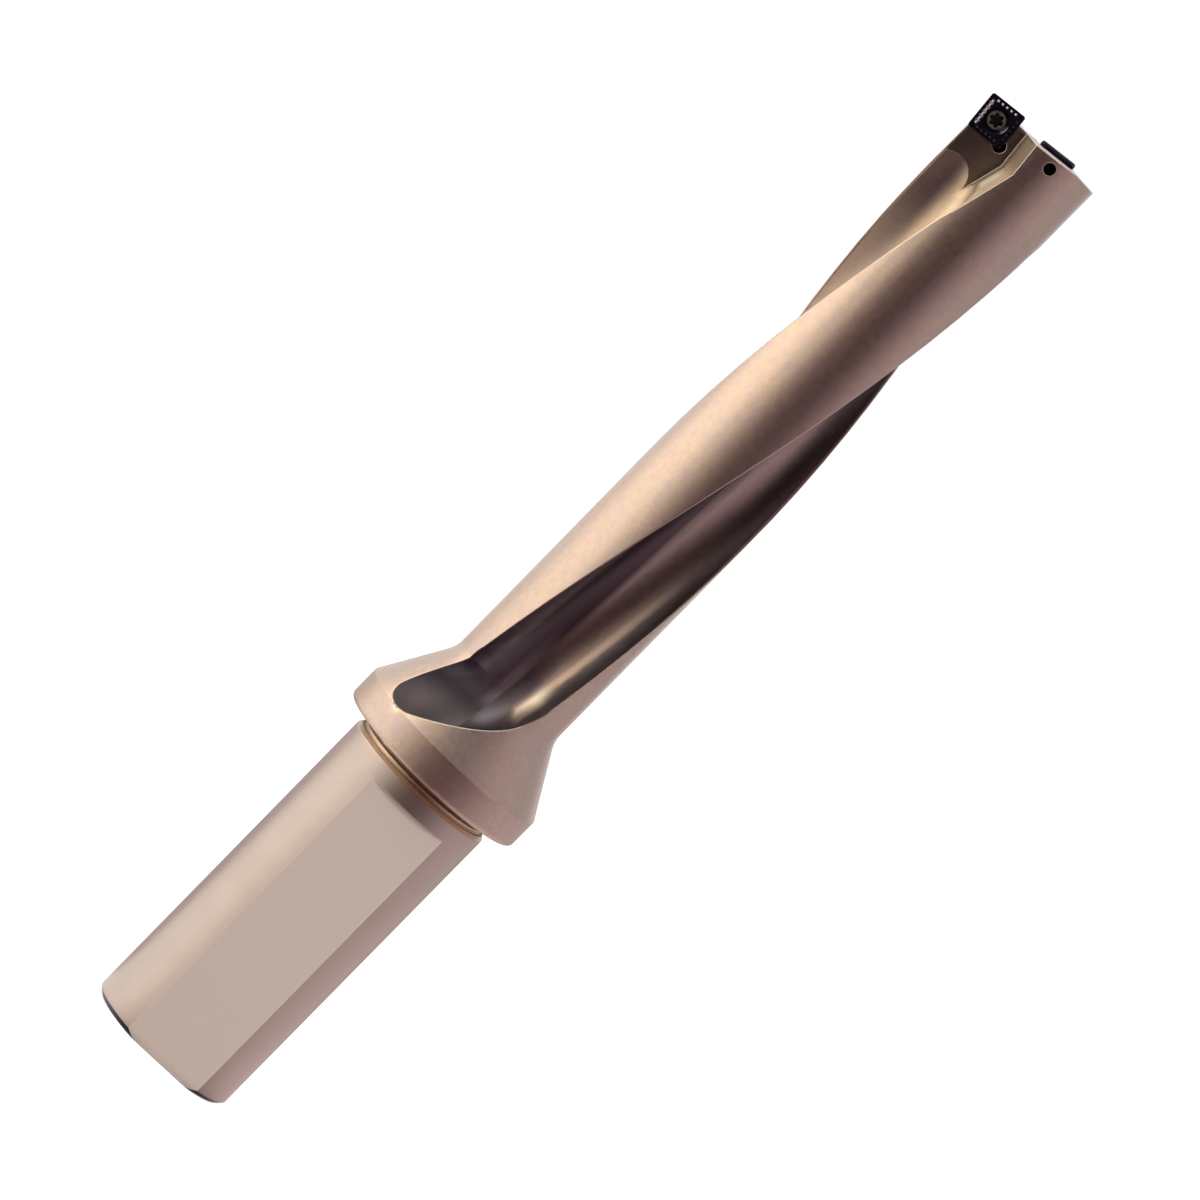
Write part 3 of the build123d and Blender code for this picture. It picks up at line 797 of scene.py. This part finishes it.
THREAD_PLAY = 0.005


def socket_radius(angle, widest):
    """Six rounded lobes."""
    wave = 0.5 + 0.5 * math.cos(SOCKET_LOBES * angle)
    return SOCKET_WAIST + (widest - SOCKET_WAIST) * wave ** LOBE_SHARPNESS


def thread_radius(step, turns, angle):
    """The rolled groove, which fades in under the head and out at the end."""
    phase = (step / THREAD_STEPS + angle / (2 * math.pi)) % 1.0
    groove = max(0.0, 1 - abs(2 * phase - 1) * THREAD_FLANKS)
    fade_in = smooth(step / THREAD_STEPS) * smooth((turns - step) / THREAD_STEPS)
    return SCREW_THREAD_RADIUS - THREAD_PLAY - THREAD_DEPTH * groove * fade_in


def screw_rings():
    """Closed rings from the socket's floor out over the head and down the thread."""
    angles = [2 * math.pi * step / SCREW_POINTS for step in range(SCREW_POINTS)]
    rings = []

    def ring(height, radius_at):
        rings.append([(radius_at(a) * math.cos(a), radius_at(a) * math.sin(a), height) for a in angles])

    def lobed(widest, height):
        ring(height, lambda angle: socket_radius(angle, widest))

    def plain(radius, height):
        ring(height, lambda angle: radius)

    plain(SOCKET_DRILL_RADIUS, -SOCKET_DEPTH - SOCKET_DISH)
    plain(SOCKET_DISH_RADIUS, -SOCKET_DEPTH)
    lobed(SOCKET_RADIUS - SOCKET_FOOT_IN, SOCKET_FOOT - SOCKET_DEPTH)
    lobed(SOCKET_RADIUS, -SOCKET_RIM)
    lobed(SOCKET_RADIUS + SOCKET_RIM_OUT, 0.0)
    plain(SOCKET_RADIUS + SOCKET_LAND, 0.0)
    plain(SCREW_HEAD_RADIUS - HEAD_EDGE, 0.0)
    plain(SCREW_HEAD_RADIUS - HEAD_EDGE_IN, -HEAD_EDGE)
    slope = math.tan(math.radians(SCREW_HEAD_ANGLE / 2))
    neck = -(SCREW_HEAD_RADIUS - SCREW_THREAD_RADIUS) / slope
    plain(SCREW_THREAD_RADIUS, neck)
    turns = int((SCREW_LENGTH + neck - THREAD_PITCH) / THREAD_PITCH * THREAD_STEPS)
    for step in range(turns + 1):
        height = neck - THREAD_PITCH * (step / THREAD_STEPS)
        ring(height, lambda angle: thread_radius(step, turns, angle))
    plain(SCREW_THREAD_RADIUS - THREAD_DEPTH, -SCREW_LENGTH)
    return rings


def add_screw(node, place, turn, material):
    """A countersunk screw in its insert's hole, its head sunk below the face."""
    slope = math.tan(math.radians(SCREW_HEAD_ANGLE / 2))
    sunk = (INSERT_SINK_RADIUS - SCREW_HEAD_RADIUS) / slope
    spot = place @ Matrix.Translation((0, 0, -sunk * MM)) @ Matrix.Rotation(math.radians(turn), 4, "Z")
    piece = piece_from_rings(node + "_detail", screw_rings(), spot, material, close=False)
    sharpen(piece, SCREW_SHARP)
    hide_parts(node)
    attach(piece, BODY)


# Studio (metres, and degrees of bearing from the camera's side towards the right)
CAMERA_BEARING = -9.0
FLOOR_HALF = 6.0
FLOOR_ALBEDO = 0.6
FLOOR_GLOW = 0.8                # added where the floor is looked at
WORLD_LIGHT = 0.4               # what the world gives as light
WORLD_SEEN = 1.0                # and what it shows where it is looked at
SOFTBOX_AIM = 0.6               # a lamp looks at this share of its own height
SOFTBOXES = (                   # name, bearing, distance, height, size, colour, radiance, reflected
    ("key", -82, 0.85, 0.55, (1.0, 1.1), (1.0, 0.80, 0.50), 1.36, True),
    ("fill", 120, 1.1, 0.7, (0.8, 0.8), (0.95, 0.97, 1.0), 0.5, True),
    ("top", 20, 0.2, 1.4, (0.8, 0.8), (0.9, 0.95, 1.0), 0.5, True),
    ("front", 25, 1.6, 0.5, (1.0, 1.0), (1.0, 0.97, 0.96), 5.2, False),
)

# Cards that only reflections see. One stands round the tool, the others lie on the floor
CARD_STEPS = 24
CARD_RADIUS = 0.62
CARD_HEIGHT = 1.3
CARD_FOOT = 0.0119              # how close to the axis the ones on the floor come
CARD_LIFT = 0.00015             # how far they lie above the floor
SHANK_REACH = 0.42              # what the shank reflects lies within this
SHADE_REACH = 0.5
GRADED_CARD = (-55.0, 150.0)
SHADE_CARD = (150.0, 235.0)     # behind, for the shank's outer edges
SHADE_TONE = (0.48, 0.40, 0.40)
SHANK_GAIN = 1.1
BODY_TONES = (                  # bearing, and what the body reflects there
    (-55.0, (0.97, 0.91, 0.82)),
    (-38.0, (0.77, 0.69, 0.61)),
    (-20.0, (0.22, 0.165, 0.15)),
    (-8.0, (0.040, 0.020, 0.026)),
    (12.0, (0.040, 0.020, 0.030)),
    (26.0, (0.075, 0.050, 0.065)),
    (52.0, (0.42, 0.33, 0.36)),
    (80.0, (0.64, 0.55, 0.58)),
    (122.0, (0.50, 0.47, 0.49)),
    (150.0, (0.54, 0.51, 0.54)),
)
FLANGE_TONES = (                # the same for the flange
    (-55.0, (1.00, 0.94, 0.85)),
    (-38.0, (0.82, 0.72, 0.63)),
    (-20.0, (0.22, 0.17, 0.16)),
    (-8.0, (0.050, 0.025, 0.040)),
    (24.0, (0.050, 0.032, 0.055)),
    (41.0, (0.145, 0.12, 0.145)),
    (58.0, (0.27, 0.225, 0.265)),
    (85.0, (0.37, 0.31, 0.345)),
    (150.0, (0.45, 0.38, 0.43)),
)
SHANK_TONES = (                 # and for the shank, which sees the floor near by
    (-55.0, (1.00, 0.96, 0.91)),
    (-38.0, (0.80, 0.72, 0.66)),
    (-20.0, (0.33, 0.245, 0.235)),
    (-4.0, (0.22, 0.135, 0.145)),
    (20.0, (0.22, 0.135, 0.145)),
    (41.0, (0.30, 0.215, 0.22)),
    (58.0, (0.45, 0.36, 0.36)),
    (90.0, (0.74, 0.61, 0.61)),
    (120.0, (0.80, 0.67, 0.67)),
    (150.0, (0.76, 0.66, 0.67)),
)
UPRIGHT = ((CARD_RADIUS, CARD_LIFT), (CARD_RADIUS, CARD_HEIGHT))
FAR_FLOOR = ((SHANK_REACH, CARD_LIFT), (CARD_RADIUS, CARD_LIFT))
NEAR_FLOOR = ((CARD_FOOT, CARD_LIFT), (SHANK_REACH, CARD_LIFT))
SHADE_FLOOR = ((CARD_FOOT, CARD_LIFT), (SHADE_REACH, CARD_LIFT))
CARDS = (                       # name, bearings, profile of radius and height, tones, gain
    ("graded_card", GRADED_CARD, UPRIGHT, BODY_TONES, 1.0),
    ("far_floor_card", GRADED_CARD, FAR_FLOOR, FLANGE_TONES, 1.0),
    ("near_floor_card", GRADED_CARD, NEAR_FLOOR, SHANK_TONES, SHANK_GAIN),
    ("shade_card", SHADE_CARD, SHADE_FLOOR, SHADE_TONE, 1.0),
)


def seen_directly(nodes):
    """1 where the camera, a reflection or glass looks at a surface."""
    path = nodes.add("ShaderNodeLightPath").outputs
    seen = nodes.math("MAXIMUM", path["Is Camera Ray"], path["Is Glossy Ray"])
    return nodes.math("MAXIMUM", seen, path["Is Transmission Ray"])


def add_floor():
    """A pale floor that keeps the shadow and shows as white."""
    material, nodes = empty_material("pale_floor")
    grey = opaque((FLOOR_ALBEDO,) * 3)
    lit = nodes.add("ShaderNodeBsdfDiffuse", {"Color": grey}).outputs[0]
    strength = nodes.product(seen_directly(nodes), FLOOR_GLOW)
    glow = nodes.add("ShaderNodeEmission", {"Color": opaque(WHITE), "Strength": strength}).outputs[0]
    both = nodes.add("ShaderNodeAddShader", {0: lit, 1: glow}).outputs[0]
    nodes.add("ShaderNodeOutputMaterial", {"Surface": both})
    corners = [(x * FLOOR_HALF, y * FLOOR_HALF, 0) for x, y in ((-1, -1), (1, -1), (1, 1), (-1, 1))]
    floor = new_piece("floor", corners, [(0, 1, 2, 3)], material)


def studio_point(distance, bearing, height):
    turn = math.radians(bearing + CAMERA_BEARING)
    return distance * math.sin(turn), -distance * math.cos(turn), height


def graded_tone(nodes, tones):
    """A colour that follows a table, by the bearing of the point."""
    place = nodes.add("ShaderNodeTexCoord").outputs["Object"]
    split = nodes.add("ShaderNodeSeparateXYZ", {"Vector": place})
    back = nodes.math("MULTIPLY", split.outputs["Y"], -1.0)
    angle = nodes.math("ARCTAN2", split.outputs["X"], back)
    share = nodes.math("MULTIPLY_ADD", angle, 1 / (2 * math.pi), 0.5 - CAMERA_BEARING / 360)
    ramp = nodes.add("ShaderNodeValToRGB", {"Fac": share})
    stops = ramp.color_ramp.elements
    for index, (bearing, tone) in enumerate(tones):
        position = bearing / 360 + 0.5
        stop = stops[index] if index < len(stops) else stops.new(position)
        stop.position = position
        stop.color = opaque(tone)
    return ramp.outputs["Color"]


def add_card(name, bearings, profile, tones, gain):
    """A card bent round the tool, graded or of one tone. Only reflections see it."""
    first, last = bearings
    count = len(profile)
    points = []
    for step in range(CARD_STEPS + 1):
        bearing = first + (last - first) * step / CARD_STEPS
        points += [studio_point(radius, bearing, height) for radius, height in profile]
    faces = []
    for step in range(CARD_STEPS):
        for row in range(count - 1):
            a = count * step + row
            faces.append((a, a + count, a + count + 1, a + 1))
    material, nodes = empty_material(name)
    tone = graded_tone(nodes, tones) if isinstance(tones[0], tuple) else opaque(tones)
    glow = nodes.add("ShaderNodeEmission", {"Color": tone, "Strength": gain})
    nodes.add("ShaderNodeOutputMaterial", {"Surface": glow.outputs[0]})
    card = new_piece(name, points, faces, material)
    card.visible_camera = False
    card.visible_diffuse = False
    card.visible_shadow = False


def add_softbox(name, bearing, distance, height, size, colour, radiance, reflected):
    """A rectangular lamp that looks at the tool."""
    lamp = bpy.data.lights.new(name, "AREA")
    lamp.shape = "RECTANGLE"
    lamp.size, lamp.size_y = size
    lamp.color = colour
    lamp.energy = radiance * math.pi * size[0] * size[1]
    box = bpy.data.objects.new(name, lamp)
    bpy.context.scene.collection.objects.link(box)
    place = Vector(studio_point(distance, bearing, height))
    aim = Vector((0, 0, height * SOFTBOX_AIM)) - place
    box.location = place
    box.rotation_euler = aim.to_track_quat("-Z", "Y").to_euler()
    box.visible_camera = False
    box.visible_glossy = reflected


def add_world():
    world = bpy.data.worlds.new("studio")
    bpy.context.scene.world = world
    world.use_nodes = True
    world.node_tree.nodes.clear()
    nodes = Nodes(world.node_tree)
    strength = nodes.math("MULTIPLY_ADD", seen_directly(nodes), WORLD_SEEN - WORLD_LIGHT, WORLD_LIGHT)
    glow = nodes.add("ShaderNodeBackground", {"Color": opaque(WHITE), "Strength": strength})
    nodes.add("ShaderNodeOutputWorld", {"Surface": glow.outputs[0]})


def add_camera():
    forward = (CAMERA_TARGET - CAMERA_PLACE).normalized()
    right = forward.cross(Vector((0, 0, 1))).normalized()
    up = right.cross(forward)
    roll = math.radians(CAMERA_ROLL)
    across = right * math.cos(roll) + up * math.sin(roll)
    upward = up * math.cos(roll) - right * math.sin(roll)
    data = bpy.data.cameras.new("camera")
    data.lens = CAMERA_LENS
    data.sensor_width = CAMERA_SENSOR
    camera = bpy.data.objects.new("camera", data)
    bpy.context.scene.collection.objects.link(camera)
    turn = Matrix((across, upward, -forward)).transposed().to_4x4()
    camera.matrix_world = Matrix.Translation(CAMERA_PLACE) @ turn
    bpy.context.scene.camera = camera


SCREW_TURNS = (0.0, 20.0)       # how far each screw was turned home

dress("drill_body", body_material())
carbide = carbide_material()
screw_steel = screw_material()
places = [add_insert(node, bearing, tilt, carbide) for node, bearing, tilt in INSERTS]
for insert, place, turn in zip(INSERTS, places, SCREW_TURNS):
    add_screw(insert[0] + "_screw", place, turn, screw_steel)
add_world()
add_floor()
for softbox in SOFTBOXES:
    add_softbox(*softbox)
for card in CARDS:
    add_card(*card)
add_camera()
bpy.context.scene.view_settings.view_transform = "Standard"
